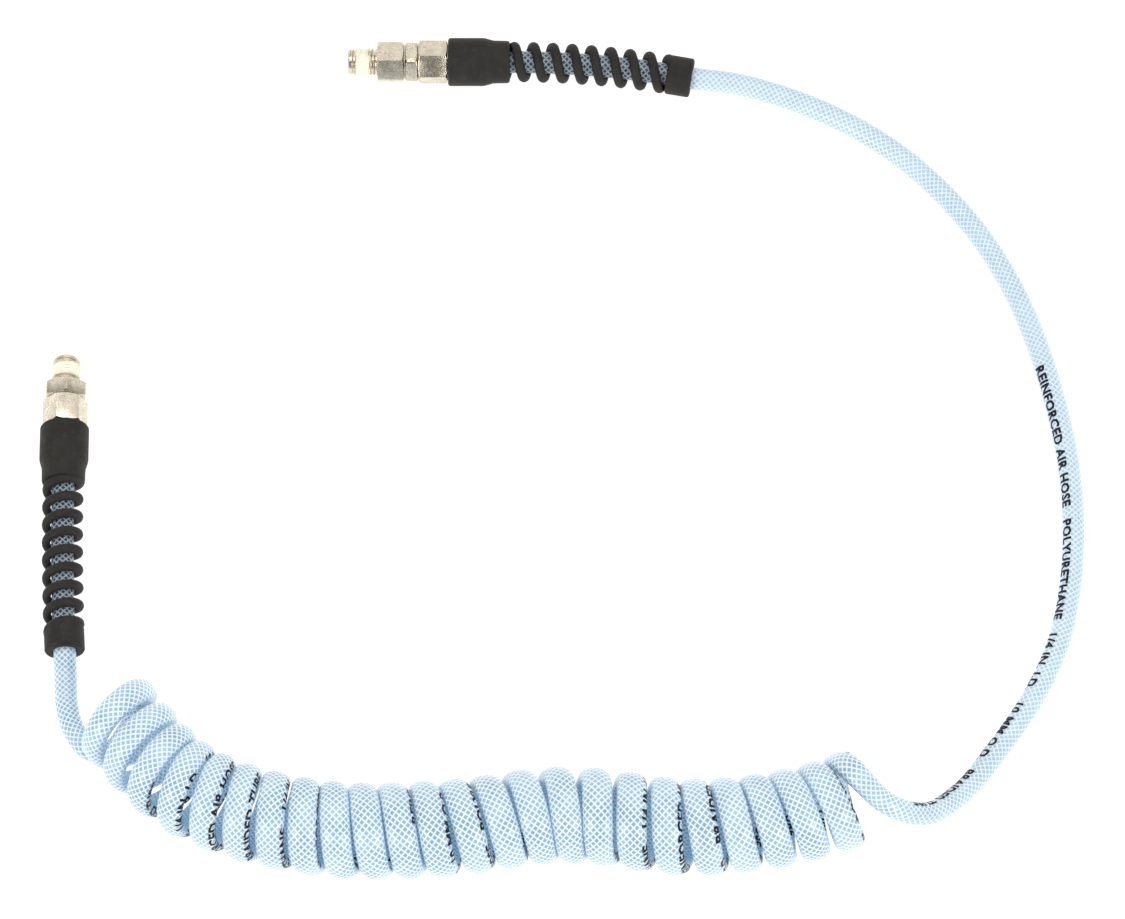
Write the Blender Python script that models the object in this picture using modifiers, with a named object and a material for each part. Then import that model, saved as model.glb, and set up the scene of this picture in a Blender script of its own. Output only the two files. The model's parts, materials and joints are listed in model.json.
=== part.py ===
"""Coiled, braided air hose with a swivel and a rigid 1/4 in pipe fitting.

The assembly lies on a flat surface, z = 0. The swivel fitting lies along X and the rigid fitting along Y.
The origin is the bottom centre of the box round the two fittings with their guards. Units are metres.

Every fitting is modelled in a frame of its own, with +Z pointing out of its pipe thread and the origin at
the thread's tip. A station is a distance from that tip towards the hose, so it lies at local z = -station.
"""

import math

import bpy
from mathutils import Euler, Matrix, Vector

ASSEMBLY = "coiled_air_hose_assembly"
GAP = 0.0003
ROUND = 32

# Hose: 1/4 in bore, 10 mm outside, squeezed flat where it is coiled.
HOSE_RADIUS = 0.0050
HOSE_REST = 0.0051
TUBE_STEP = 0.022
COIL_RADIUS = 0.0212
COIL_HEIGHT = 0.0213
COIL_FIRST_TURN = 0.30
COIL_LAST_TURN = 25.2

# The coil's axis on the surface, one point for every four turns, from its rigid-fitting end.
TURNS_PER_POINT = 4
COIL_AXIS = [
    (-0.120, -0.185), (-0.077, -0.227), (-0.025, -0.2455), (0.030, -0.247),
    (0.0875, -0.240), (0.1465, -0.246), (0.202, -0.236), (0.254, -0.209),
]

# The free stretches of hose, each from its guard's collar to the coil.
LONG_LEAD = [
    (0.164, 0.1350, 0.0066), (0.190, 0.1275, HOSE_REST), (0.215, 0.115, HOSE_REST),
    (0.238, 0.0985, HOSE_REST), (0.258, 0.078, HOSE_REST), (0.275, 0.0545, HOSE_REST),
    (0.2885, 0.028, HOSE_REST), (0.2985, -0.0005, HOSE_REST), (0.3055, -0.029, HOSE_REST),
    (0.3105, -0.059, HOSE_REST), (0.312, -0.089, HOSE_REST), (0.310, -0.119, HOSE_REST),
    (0.304, -0.148, HOSE_REST), (0.292, -0.1755, HOSE_REST), (0.2765, -0.2, HOSE_REST),
    (0.2595, -0.2235, 0.0085), (0.2425, -0.2385, 0.019), (0.227, -0.2395, 0.031),
]
SHORT_LEAD = [(-0.132, -0.166, 0.0070), (-0.1315, -0.176, 0.0055), (-0.130, -0.185, HOSE_REST),
              (-0.127, -0.1925, HOSE_REST)]

# Fittings: stations along each one from the tip of its pipe thread.
THREAD_LENGTH = 0.0132
LAND_RADIUS = 0.0078
THREAD_TIP_RADIUS = 0.0061
THREAD_BASE_RADIUS = 0.0065
BORE_RADIUS = 0.0031
HEX_ACROSS_FLATS = 0.01746
HEX_HOLE_RADIUS = 0.0070
BODY_HEX_HOLE_RADIUS = 0.0072
BODY_LAND_RADIUS = 0.0080
# How far each hexagon has been screwed round, in degrees about its fitting's axis.
STEM_HEX_TURN = 4
SWIVEL_BODY_HEX_TURN = 0
SWIVEL_NUT_TURN = 16
FIXED_BODY_HEX_TURN = 6
FIXED_NUT_TURN = 40
SEALANT = (0.0034, 0.0098)
SEALANT_WALL = 0.0003
STEM_HEX_END = 0.0252
BODY_HEX_START = 0.0261
SWIVEL_NUT_START = 0.0318
FIXED_HEX_END = 0.0208
FIXED_NUT_START = 0.0211

# Nut, barb and ferrule: stations from the nut's front face.
NUT_HEX_LENGTH = 0.0132
NUT_CAVITY_END = 0.0162
NUT_SKIRT_END = 0.0282
NUT_SKIRT_RADIUS = 0.0082
BODY_THREAD_END = 0.0090
BODY_THREAD_RADIUS = 0.0070
FERRULE = (0.0098, 0.0158)
BARB_BORE = 0.0023
BARB_ROOT = 0.0033
BARB_CREST = 0.0039
BARB_PITCH = 0.0040
BARB_RIDGES = 4
HOSE_END_RADIUS = 0.0053
LEAD_START = 0.0295
GUARD_START = 0.0135

# Swivel: the stem's spigot turns in the body's socket on an O-ring, held by a snap ring.
SPIGOT_RADIUS = 0.0056
SOCKET_RADIUS = 0.0059
SPIGOT_END = 0.0395
SOCKET_END = 0.0403
O_RING = (0.0355, 0.00505, 0.00055)
SNAP_RING = (0.0290, 0.0050, 0.0064, 0.0009)
THRUST_WASHER = (0.02545, 0.02585, 0.0059, 0.0076)

# Guard: a moulded rubber sleeve, a right-handed helix round the hose, and an end collar.
SLEEVE_RADIUS = 0.0109
SLEEVE_NECK_RADIUS = 0.0099
SLEEVE_CYLINDER = 0.0163
SLEEVE_LENGTH = 0.0280
SLEEVE_BORE = 0.0085
HOSE_BORE = 0.0054
HELIX_LENGTH = 0.0712
HELIX_PITCH = 0.00875
HELIX_WIRE_RADIUS = 0.00185
HELIX_EMBED = 0.0025
COLLAR_LENGTH = 0.0113
COLLAR_RADIUS = 0.0089
BEND_LENGTH = HELIX_LENGTH + COLLAR_LENGTH
# Where round the hose each helix starts, in degrees, as it was pushed on.
SWIVEL_HELIX_PHASE = -96
FIXED_HELIX_PHASE = 82

# Where each fitting stands. A guard's free end sags to the surface and leans the way its hose goes:
# the pair is how far its collar has moved along the fitting's local X and Y.
SWIVEL_AXIS_Y = 0.1440
SWIVEL_TIP_X = -0.0111
SWIVEL_BEND = (-0.0018, -0.0075)
FIXED_AXIS_X = -0.1350
FIXED_TIP_Y = -0.0093
FIXED_BEND = (0.0025, 0.0018)

PALE_BLUE = (0.62, 0.78, 0.93)
NICKEL = (0.72, 0.66, 0.56)
BLACK_RUBBER = (0.045, 0.040, 0.036)
CREAM = (0.90, 0.88, 0.78)


def clear_scene():
    for thing in list(bpy.data.objects):
        bpy.data.objects.remove(thing)


def new_collection(name):
    collection = bpy.data.collections.new(name)
    bpy.context.scene.collection.children.link(collection)
    return collection


def new_material(name, colour, roughness, metallic):
    material = bpy.data.materials.new(name)
    material.use_nodes = True
    shader = material.node_tree.nodes["Principled BSDF"]
    shader.inputs["Base Color"].default_value = (*colour, 1.0)
    shader.inputs["Roughness"].default_value = roughness
    shader.inputs["Metallic"].default_value = metallic
    return material


def add_part(name, data, material, parent=None):
    """Puts a piece in the assembly's collection, in its fitting's frame if it has one."""
    part = bpy.data.objects.new(name, data)
    parts.objects.link(part)
    part.data.materials.append(material)
    part.parent = parent
    return part


def add_cutter(name, data, parent):
    cutter = bpy.data.objects.new(name, data)
    cutters.objects.link(cutter)
    cutter.parent = parent
    cutter.hide_render = True
    cutter.display_type = 'WIRE'
    return cutter


def fitting_frame(name, location, rotation):
    """An empty at a thread's tip, with +Z pointing out of the thread."""
    frame = bpy.data.objects.new(name, None)
    parts.objects.link(frame)
    frame.location = location
    frame.rotation_euler = rotation
    return frame


def frame_matrix(frame):
    return Matrix.Translation(frame.location) @ frame.rotation_euler.to_matrix().to_4x4()


def ring_profile(outer, inner):
    """A closed profile for Screw: the outer side from the tip to the hose, then the bore back again."""
    points = [(radius, -station) for station, radius in outer + inner[::-1]]
    mesh = bpy.data.meshes.new("profile")
    edges = [(i, (i + 1) % len(points)) for i in range(len(points))]
    mesh.from_pydata([(radius, 0, z) for radius, z in points], edges, [])
    return mesh


def add_turn(part, steps=ROUND):
    screw = part.modifiers.new("turn", 'SCREW')
    screw.steps = screw.render_steps = steps
    screw.use_merge_vertices = True
    screw.merge_threshold = 0.00001


def add_boolean(part, operation, other):
    boolean = part.modifiers.new(operation.lower(), 'BOOLEAN')
    boolean.operation = operation
    boolean.object = other


def turned_part(name, outer, inner, material, frame):
    part = add_part(name, ring_profile(outer, inner), material, frame)
    add_turn(part)
    return part


def hexagon(name, start, end, hole_radius, turn_degrees, frame):
    """A chamfered hexagon with a hole, as the shape a turned barrel shares with a six-sided prism."""
    corner = HEX_ACROSS_FLATS / 2 / math.cos(math.radians(30))
    chamfer_radius = HEX_ACROSS_FLATS / 2 - 0.0002
    chamfer = (corner - chamfer_radius) * 0.55
    barrel = add_cutter(name + "_barrel", ring_profile(
        [(start, chamfer_radius), (start + chamfer, corner + 0.0002),
         (end - chamfer, corner + 0.0002), (end, chamfer_radius)],
        [(start, hole_radius), (end, hole_radius)]), frame)
    add_turn(barrel)
    bpy.ops.mesh.primitive_cylinder_add(vertices=6, radius=corner, depth=(end - start) + 0.002)
    prism = bpy.context.object
    prism.name = name
    for collection in prism.users_collection:
        collection.objects.unlink(prism)
    cutters.objects.link(prism)
    prism.parent = frame
    prism.location = (0, 0, -(start + end) / 2)
    prism.rotation_euler = (0, 0, math.radians(turn_degrees))
    prism.hide_render = True
    prism.display_type = 'WIRE'
    add_boolean(prism, 'INTERSECT', barrel)
    return prism


def thread_outline(end):
    """The pipe thread's taper with its leading chamfer, and on to the station where the hexagon ends."""
    return [(0, THREAD_TIP_RADIUS - 0.0008), (0.0008, THREAD_TIP_RADIUS),
            (THREAD_LENGTH, THREAD_BASE_RADIUS), (THREAD_LENGTH, LAND_RADIUS), (end, LAND_RADIUS)]


def body_tail(nut_start):
    """The body behind its hexagon: the thread for the nut, then the barb that goes into the hose."""
    thread_end = nut_start + BODY_THREAD_END
    outline = [(nut_start - GAP, BODY_THREAD_RADIUS), (thread_end, BODY_THREAD_RADIUS),
               (thread_end, BARB_ROOT + 0.0006)]
    for ridge in range(BARB_RIDGES):
        foot = nut_start + NUT_SKIRT_END - (BARB_RIDGES - ridge) * BARB_PITCH
        outline += [(foot, BARB_ROOT), (foot, BARB_CREST), (foot + BARB_PITCH - 0.0002, BARB_ROOT)]
    return outline


def sealant(name, frame):
    """A sleeve of dry sealant on the pipe thread, following its taper."""
    taper = (THREAD_BASE_RADIUS - THREAD_TIP_RADIUS) / THREAD_LENGTH
    start, end = SEALANT
    inside = [(station, THREAD_TIP_RADIUS + taper * station + GAP) for station in (start, end)]
    outside = [(station, radius + SEALANT_WALL) for station, radius in inside]
    return turned_part(name, outside, inside, cream, frame)


def clamp_parts(end_name, nut_start, hex_turn, frame):
    """What holds the hose on either barb: the nut with its skirt, the ferrule and the hose's end."""
    cavity, hole = BODY_THREAD_RADIUS + GAP, HOSE_END_RADIUS + GAP
    hex_end = nut_start + NUT_HEX_LENGTH
    cavity_end = nut_start + NUT_CAVITY_END
    skirt_end = nut_start + NUT_SKIRT_END
    nut = turned_part(
        end_name + "_nut",
        [(nut_start, NUT_SKIRT_RADIUS - 0.0003), (hex_end, NUT_SKIRT_RADIUS - 0.0003),
         (hex_end, NUT_SKIRT_RADIUS), (skirt_end, NUT_SKIRT_RADIUS)],
        [(nut_start, cavity), (cavity_end, cavity), (cavity_end, hole), (skirt_end, hole)],
        nickel, frame)
    add_boolean(nut, 'UNION', hexagon(
        end_name + "_nut_hexagon", nut_start, hex_end, cavity + 0.0003, hex_turn, frame))
    front, back = (nut_start + station for station in FERRULE)
    turned_part(end_name + "_ferrule",
                [(front, cavity - 0.0004), (front + 0.003, cavity - 0.0004), (back, hole + 0.0007)],
                [(front, hole), (back, hole)], nickel, frame)
    turned_part(end_name + "_hose_end",
                [(front, HOSE_END_RADIUS), (nut_start + LEAD_START - GAP, HOSE_END_RADIUS)],
                [(front, BARB_CREST + GAP), (nut_start + LEAD_START - GAP, BARB_CREST + GAP)],
                hose_blue, frame)


def swivel_fitting(frame):
    """The turning half (stem, sealant, O-ring) and the half that holds the hose."""
    ring_station, ring_inner, ring_outer, ring_width = SNAP_RING
    oring_station, oring_radius, oring_wire = O_RING
    groove = ring_width / 2 + GAP
    seat = oring_wire + GAP
    stem = turned_part(
        "swivel_stem",
        thread_outline(STEM_HEX_END)
        + [(STEM_HEX_END, SPIGOT_RADIUS),
           (ring_station - groove, SPIGOT_RADIUS), (ring_station - groove, ring_inner - GAP),
           (ring_station + groove, ring_inner - GAP), (ring_station + groove, SPIGOT_RADIUS),
           (oring_station - seat, SPIGOT_RADIUS), (oring_station - seat, oring_radius - seat),
           (oring_station + seat, oring_radius - seat), (oring_station + seat, SPIGOT_RADIUS),
           (SPIGOT_END, SPIGOT_RADIUS)],
        [(0, BORE_RADIUS), (SPIGOT_END, BORE_RADIUS)], nickel, frame)
    add_boolean(stem, 'UNION', hexagon(
        "swivel_stem_hexagon", THREAD_LENGTH, STEM_HEX_END, HEX_HOLE_RADIUS, STEM_HEX_TURN, frame))
    sealant("swivel_thread_sealant", frame)
    front, back, inner, outer = THRUST_WASHER
    turned_part("swivel_thrust_washer", [(front, outer), (back, outer)], [(front, inner), (back, inner)],
                cream, frame)
    turned_part("swivel_snap_ring",
                [(ring_station - ring_width / 2, ring_outer), (ring_station + ring_width / 2, ring_outer)],
                [(ring_station - ring_width / 2, ring_inner), (ring_station + ring_width / 2, ring_inner)],
                steel, frame)
    bpy.ops.mesh.primitive_torus_add(major_radius=oring_radius, minor_radius=oring_wire,
                                     major_segments=ROUND, minor_segments=8)
    torus = bpy.context.object
    o_ring = add_part("swivel_o_ring", torus.data, rubber, frame)
    o_ring.location = (0, 0, -oring_station)
    bpy.data.objects.remove(torus)
    nut_start = SWIVEL_NUT_START
    body = turned_part(
        "swivel_body",
        [(BODY_HEX_START, BODY_LAND_RADIUS), (nut_start - GAP, BODY_LAND_RADIUS)] + body_tail(nut_start),
        [(BODY_HEX_START, SOCKET_RADIUS),
         (ring_station - groove, SOCKET_RADIUS), (ring_station - groove, ring_outer + GAP),
         (ring_station + groove, ring_outer + GAP), (ring_station + groove, SOCKET_RADIUS),
         (SOCKET_END, SOCKET_RADIUS), (SOCKET_END, BARB_BORE),
         (nut_start + NUT_SKIRT_END, BARB_BORE)], nickel, frame)
    add_boolean(body, 'UNION', hexagon(
        "swivel_body_hexagon", BODY_HEX_START, nut_start - GAP, BODY_HEX_HOLE_RADIUS, SWIVEL_BODY_HEX_TURN,
        frame))
    clamp_parts("swivel", nut_start, SWIVEL_NUT_TURN, frame)


def fixed_fitting(frame):
    """The rigid end: thread, hexagon and barb in one body."""
    nut_start = FIXED_NUT_START
    body = turned_part(
        "fixed_body", thread_outline(FIXED_HEX_END) + body_tail(nut_start),
        [(0, BORE_RADIUS), (THREAD_LENGTH, BORE_RADIUS), (THREAD_LENGTH + 0.0014, BARB_BORE),
         (nut_start + NUT_SKIRT_END, BARB_BORE)], nickel, frame)
    add_boolean(body, 'UNION', hexagon(
        "fixed_body_hexagon", THREAD_LENGTH, FIXED_HEX_END, HEX_HOLE_RADIUS, FIXED_BODY_HEX_TURN, frame))
    sealant("fixed_thread_sealant", frame)
    clamp_parts("fixed", nut_start, FIXED_NUT_TURN, frame)


def guard_axis(distance, guard_end, bend):
    """The hose's centre in the fitting's frame, a distance past the sleeve's end (before it, if negative)."""
    lean = max(distance / BEND_LENGTH, 0) ** 2
    return Vector((bend[0] * lean, bend[1] * lean, -(guard_end + distance)))


def guard(name, sleeve_start, bend, phase, frame):
    """One moulding: the sleeve over the nut's skirt, the helix round the hose, and the collar."""
    neck_start = sleeve_start + SLEEVE_CYLINDER
    sleeve_end = sleeve_start + SLEEVE_LENGTH
    shoulder = sleeve_start + NUT_SKIRT_END - GUARD_START + 0.0005
    part = turned_part(
        name,
        [(sleeve_start, SLEEVE_RADIUS - 0.0008), (sleeve_start + 0.0008, SLEEVE_RADIUS),
         (neck_start, SLEEVE_RADIUS), (neck_start + 0.001, SLEEVE_NECK_RADIUS),
         (sleeve_end - 0.001, SLEEVE_NECK_RADIUS - 0.0004), (sleeve_end, SLEEVE_NECK_RADIUS - 0.0014)],
        [(sleeve_start, SLEEVE_BORE), (shoulder, SLEEVE_BORE), (shoulder, HOSE_BORE + GAP),
         (sleeve_end, HOSE_BORE + GAP)], rubber, frame)
    add_boolean(part, 'UNION', guard_helix(name + "_helix", sleeve_end, bend, phase, frame))
    add_boolean(part, 'UNION', guard_collar(name + "_collar", sleeve_end, bend, frame))
    return part


def guard_helix(name, sleeve_end, bend, phase, frame):
    """The right-handed helix, with both of its ends sunk in the sleeve and in the collar."""
    steps_per_turn = 14
    centre_radius = HOSE_BORE + HELIX_WIRE_RADIUS
    travel = HELIX_LENGTH + 2 * HELIX_EMBED
    steps = round(travel / HELIX_PITCH * steps_per_turn)
    points = []
    for step in range(steps + 1):
        angle = math.radians(phase) - 2 * math.pi * step / steps_per_turn
        around = Vector((math.cos(angle), math.sin(angle), 0)) * centre_radius
        distance = travel * step / steps - HELIX_EMBED
        points.append(guard_axis(distance, sleeve_end, bend) + around)
    curve = poly_curve(name, points, HELIX_WIRE_RADIUS, 2)
    return curve_to_cutter(name, curve, frame)


def guard_collar(name, sleeve_end, bend, frame):
    """The collar at the free end, square to the bent axis."""
    rounding = 0.0008
    length, radius, hole = COLLAR_LENGTH, COLLAR_RADIUS, HOSE_BORE
    collar = add_cutter(name, ring_profile(
        [(0, radius - rounding), (rounding, radius), (length - rounding, radius),
         (length, radius - rounding)],
        [(0, hole), (length, hole)]), frame)
    add_turn(collar)
    start = guard_axis(HELIX_LENGTH, sleeve_end, bend)
    end = guard_axis(BEND_LENGTH, sleeve_end, bend)
    collar.location = start
    collar.rotation_euler = (start - end).to_track_quat('Z', 'Y').to_euler()
    return collar


def poly_curve(name, points, radius, resolution):
    curve = bpy.data.curves.new(name, 'CURVE')
    curve.dimensions = '3D'
    curve.bevel_depth = radius
    curve.bevel_resolution = resolution
    curve.use_fill_caps = True
    spline = curve.splines.new('POLY')
    spline.points.add(len(points) - 1)
    for slot, point in zip(spline.points, points):
        slot.co = (*point, 1.0)
    return curve


def curve_to_cutter(name, curve, frame):
    """Turns a bevelled curve into a closed mesh, so that a Boolean can use it."""
    holder = bpy.data.objects.new(name + "_curve", curve)
    bpy.context.scene.collection.objects.link(holder)
    evaluated = holder.evaluated_get(bpy.context.evaluated_depsgraph_get())
    mesh = bpy.data.meshes.new_from_object(evaluated)
    bpy.data.objects.remove(holder)
    cutter = add_cutter(name, mesh, frame)
    weld = cutter.modifiers.new("weld", 'WELD')
    weld.merge_threshold = 0.00001
    return cutter


def curve_through(points, place):
    """A point of the smooth (Catmull-Rom) curve through the points, at a place counted in points."""
    points = [Vector(point) for point in points]
    padded = [2 * points[0] - points[1]] + points + [2 * points[-1] - points[-2]]
    span = min(int(place), len(points) - 2)
    before, start, end, after = padded[span:span + 4]
    t = place - span
    return 0.5 * (2 * start + (end - before) * t
                  + (2 * before - 5 * start + 4 * end - after) * t ** 2
                  + (3 * start - before - 3 * end + after) * t ** 3)


def hose_tube(name, frame, bend, nut_start, free_route):
    """One uncoiled stretch of hose: through the guard and along its free route to the coil."""
    matrix = frame_matrix(frame)
    sleeve_end = nut_start + GUARD_START + SLEEVE_LENGTH
    first = nut_start + LEAD_START - sleeve_end
    stations = [first + (BEND_LENGTH - first) * step / 4 for step in range(5)]
    route = [matrix @ guard_axis(station, sleeve_end, bend) for station in stations]
    route += [Vector(point) for point in free_route]
    last = len(route) - 1
    length = sum((end - start).length for start, end in zip(route, route[1:]))
    steps = round(length / TUBE_STEP)
    points = [curve_through(route, last * step / steps) for step in range(steps + 1)]
    curve = poly_curve(name, points, HOSE_RADIUS, 3)
    return add_part(name, curve, hose_blue)


def hose_coil():
    """The coiled stretch as one fat tube of its outer diameter, along the coil's curved axis."""
    steps = 15
    turns = COIL_LAST_TURN - COIL_FIRST_TURN
    points = []
    for step in range(steps + 1):
        turn = COIL_FIRST_TURN + turns * step / steps
        flat = curve_through([(x, y, COIL_HEIGHT) for x, y in COIL_AXIS], turn / TURNS_PER_POINT)
        points.append(flat)
    curve = poly_curve("hose_coil", points, COIL_RADIUS, 8)
    return add_part("hose_coil", curve, hose_blue)


def shade_round_parts():
    for part in parts.objects:
        if part.type == 'MESH':
            part.data.shade_smooth()
            part.data.set_sharp_from_angle(angle=math.radians(35))


clear_scene()
parts = new_collection(ASSEMBLY)
cutters = new_collection("cutters")
nickel = new_material("nickel_plated_brass", NICKEL, 0.25, 1.0)
steel = new_material("spring_steel", (0.45, 0.45, 0.46), 0.3, 1.0)
rubber = new_material("black_rubber", BLACK_RUBBER, 0.6, 0.0)
cream = new_material("cream_plastic", CREAM, 0.6, 0.0)
hose_blue = new_material("clear_blue_hose", PALE_BLUE, 0.15, 0.0)

swivel_frame = fitting_frame("swivel_fitting_frame", (SWIVEL_TIP_X, SWIVEL_AXIS_Y, SLEEVE_RADIUS),
                             Euler((0, math.radians(-90), 0)))
fixed_frame = fitting_frame("fixed_fitting_frame", (FIXED_AXIS_X, FIXED_TIP_Y, SLEEVE_RADIUS),
                            Euler((math.radians(-90), 0, 0)))
swivel_fitting(swivel_frame)
fixed_fitting(fixed_frame)
guard("swivel_guard", SWIVEL_NUT_START + GUARD_START, SWIVEL_BEND, SWIVEL_HELIX_PHASE, swivel_frame)
guard("fixed_guard", FIXED_NUT_START + GUARD_START, FIXED_BEND, FIXED_HELIX_PHASE, fixed_frame)
hose_tube("hose_long_lead", swivel_frame, SWIVEL_BEND, SWIVEL_NUT_START, LONG_LEAD)
hose_tube("hose_short_lead", fixed_frame, FIXED_BEND, FIXED_NUT_START, SHORT_LEAD)
hose_coil()
shade_round_parts()
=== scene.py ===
import json
import math

import bpy
from mathutils import Euler, Matrix, Vector


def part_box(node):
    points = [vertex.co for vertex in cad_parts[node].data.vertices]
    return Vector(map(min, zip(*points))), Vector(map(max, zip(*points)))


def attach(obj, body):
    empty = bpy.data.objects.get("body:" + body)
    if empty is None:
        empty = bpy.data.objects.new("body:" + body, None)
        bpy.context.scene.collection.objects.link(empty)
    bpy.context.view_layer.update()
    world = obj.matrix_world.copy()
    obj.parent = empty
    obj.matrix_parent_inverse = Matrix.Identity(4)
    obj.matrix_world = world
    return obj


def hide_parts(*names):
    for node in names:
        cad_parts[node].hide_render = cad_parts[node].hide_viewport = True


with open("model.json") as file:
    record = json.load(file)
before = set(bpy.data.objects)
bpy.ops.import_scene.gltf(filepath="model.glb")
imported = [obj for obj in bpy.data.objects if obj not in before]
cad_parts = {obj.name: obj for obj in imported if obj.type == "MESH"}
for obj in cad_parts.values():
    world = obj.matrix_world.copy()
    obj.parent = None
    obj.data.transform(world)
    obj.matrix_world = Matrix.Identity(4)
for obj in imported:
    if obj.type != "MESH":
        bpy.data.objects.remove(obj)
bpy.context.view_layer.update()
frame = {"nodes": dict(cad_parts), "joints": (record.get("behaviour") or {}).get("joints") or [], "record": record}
record = frame["record"]

# ---------------------------------------------------------------------------------------------------------
# Camera, table and light. The assembly lies on a plain white table and is seen from high in front through
# a long lens. Two soft boxes stand at its front left and front right, and a wide one hangs over it.

VIEW_TARGET = Vector((0.086, -0.054, 0.0))
VIEW_ELEVATION = 62
VIEW_DISTANCE = 4.5
LENS = 324

camera_data = bpy.data.cameras.new("camera")
camera_data.lens = LENS
camera_data.clip_end = 20
camera = bpy.data.objects.new("camera", camera_data)
bpy.context.scene.collection.objects.link(camera)
camera.rotation_euler = (math.radians(90 - VIEW_ELEVATION), 0, 0)
camera.location = VIEW_TARGET + camera.rotation_euler.to_matrix() @ Vector((0, 0, VIEW_DISTANCE))
bpy.context.scene.camera = camera
bpy.context.scene.view_settings.view_transform = 'Standard'

TABLE_SIZE = 12
TABLE_GLOW = 0.80
bpy.ops.object.select_all(action='DESELECT')
bpy.ops.mesh.primitive_plane_add(size=TABLE_SIZE, location=(0, 0, -0.0002))
table = bpy.context.object
table.name = "light_table"
glass = bpy.data.materials.new("lit_white_glass")
glass.use_nodes = True
glass_shader = glass.node_tree.nodes["Principled BSDF"]
glass_shader.inputs["Base Color"].default_value = (0.45, 0.45, 0.45, 1)
glass_shader.inputs["Roughness"].default_value = 0.9
glass_shader.inputs["Specular IOR Level"].default_value = 0.0
glass_shader.inputs["Emission Color"].default_value = (1, 1, 1, 1)
glass_shader.inputs["Emission Strength"].default_value = TABLE_GLOW
table.data.materials.append(glass)


class Value:
    """A shader socket that can be used in arithmetic: each operator adds one Math node."""

    def __init__(self, tree, socket):
        self.tree = tree
        self.socket = socket

    def node(self, kind, settings, sockets, output=0):
        """Any other node: its settings first, then a number, colour or Value for each named socket."""
        new = self.tree.nodes.new("ShaderNode" + kind)
        for name, setting in settings.items():
            if name == "stops":
                for element, (place, colour) in zip(new.color_ramp.elements, setting):
                    element.position = place
                    element.color = (*colour, 1)
            else:
                setattr(new, name, setting)
        for name, given in sockets.items():
            if isinstance(given, Value):
                self.tree.links.new(given.socket, new.inputs[name])
            else:
                new.inputs[name].default_value = given
        return Value(self.tree, new.outputs[output])

    def math(self, operation, first, second=0.0):
        return self.node("Math", {"operation": operation}, {0: first, 1: second})

    def __add__(self, other):
        return self.math('ADD', self, other)

    def __radd__(self, other):
        return self.math('ADD', other, self)

    def __sub__(self, other):
        return self.math('SUBTRACT', self, other)

    def __rsub__(self, other):
        return self.math('SUBTRACT', other, self)

    def __mul__(self, other):
        return self.math('MULTIPLY', self, other)

    def __rmul__(self, other):
        return self.math('MULTIPLY', other, self)

    def __abs__(self):
        return self.math('ABSOLUTE', self)

    def fraction(self):
        return self.math('FRACT', self)

    def larger(self, other):
        return self.math('MAXIMUM', self, other)

    def smooth_step(self, low, high):
        """0 below low, 1 above high and a smooth rise between; falls instead where low is above high."""
        return self.node("MapRange", {"interpolation_type": 'SMOOTHSTEP'},
                         {"Value": self, "From Min": low, "From Max": high, "To Min": 0.0, "To Max": 1.0})

    def mix(self, first, second):
        """The first colour where this value is 0, the second where it is 1."""
        return self.node("Mix", {"data_type": 'RGBA'}, {0: self, 6: first, 7: second}, output=2)

    def noise(self, scale, detail=2.0, stretch=(1, 1, 1)):
        """Even noise, with this value as its coordinates."""
        place = self.node("Mapping", {}, {"Vector": self, "Scale": stretch})
        return self.node("TexNoise", {}, {"Vector": place, "Scale": scale, "Detail": detail})

    def bump(self, strength, distance):
        return self.node("Bump", {}, {"Height": self, "Strength": strength, "Distance": distance})


# The wall behind the table is white, and the room in front of it is dim.
ROOM_DIM = (0.15, 0.15, 0.15)
WALL_WHITE = (0.95, 0.94, 0.92)
DIM_UP_TO = 0.15
WHITE_FROM = 0.48
room = bpy.data.worlds.new("studio")
room.use_nodes = True
background = room.node_tree.nodes["Background"]
side = Value(room.node_tree, room.node_tree.nodes.new("ShaderNodeTexCoord").outputs["Generated"])
backwards = side.node("SeparateXYZ", {}, {"Vector": side}, output=1)
wall = side.node("ValToRGB", {"stops": ((DIM_UP_TO, ROOM_DIM), (WHITE_FROM, WALL_WHITE))}, {"Fac": backwards})
room.node_tree.links.new(wall.socket, background.inputs["Color"])
background.inputs["Strength"].default_value = 1.0
bpy.context.scene.world = room


def soft_box(name, place, width, height, power):
    """A rectangular studio lamp that faces the middle of the assembly."""
    lamp_data = bpy.data.lights.new(name, 'AREA')
    lamp_data.shape = 'RECTANGLE'
    lamp_data.size = width
    lamp_data.size_y = height
    lamp_data.energy = power
    lamp = bpy.data.objects.new(name, lamp_data)
    bpy.context.scene.collection.objects.link(lamp)
    lamp.location = place
    lamp.rotation_euler = (Vector(place) - VIEW_TARGET).to_track_quat('Z', 'Y').to_euler()


soft_box("front_left_box", (-1.8, -1.7, 1.25), 1.3, 0.9, 34)
soft_box("front_right_box", (1.8, -1.7, 1.25), 1.3, 0.9, 34)
soft_box("overhead_box", (0.1, 0.1, 2.2), 2.0, 1.3, 20)

# ---------------------------------------------------------------------------------------------------------
# Hose. One length of clear pale blue polyurethane tube over a white polyester braid, 10 mm outside. Most of
# it is set in a right-handed coil, where it is squeezed to an oval, and both ends are pushed onto barbs.

HOSE_RADIUS = 0.0050
HOSE_REST = 0.0051
OVAL_OUT = 0.0040
OVAL_SIDE = 0.0066
OVAL_NARROWING = 0.0006
NARROW_BELOW_TURN = 9
NARROW_OVER_TURNS = 3
OVAL_FADE = 0.045
SHARE_OF_ROOM = 0.495
HOSE_STEP = 0.0026
HOSE_SIDES = 32

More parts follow.
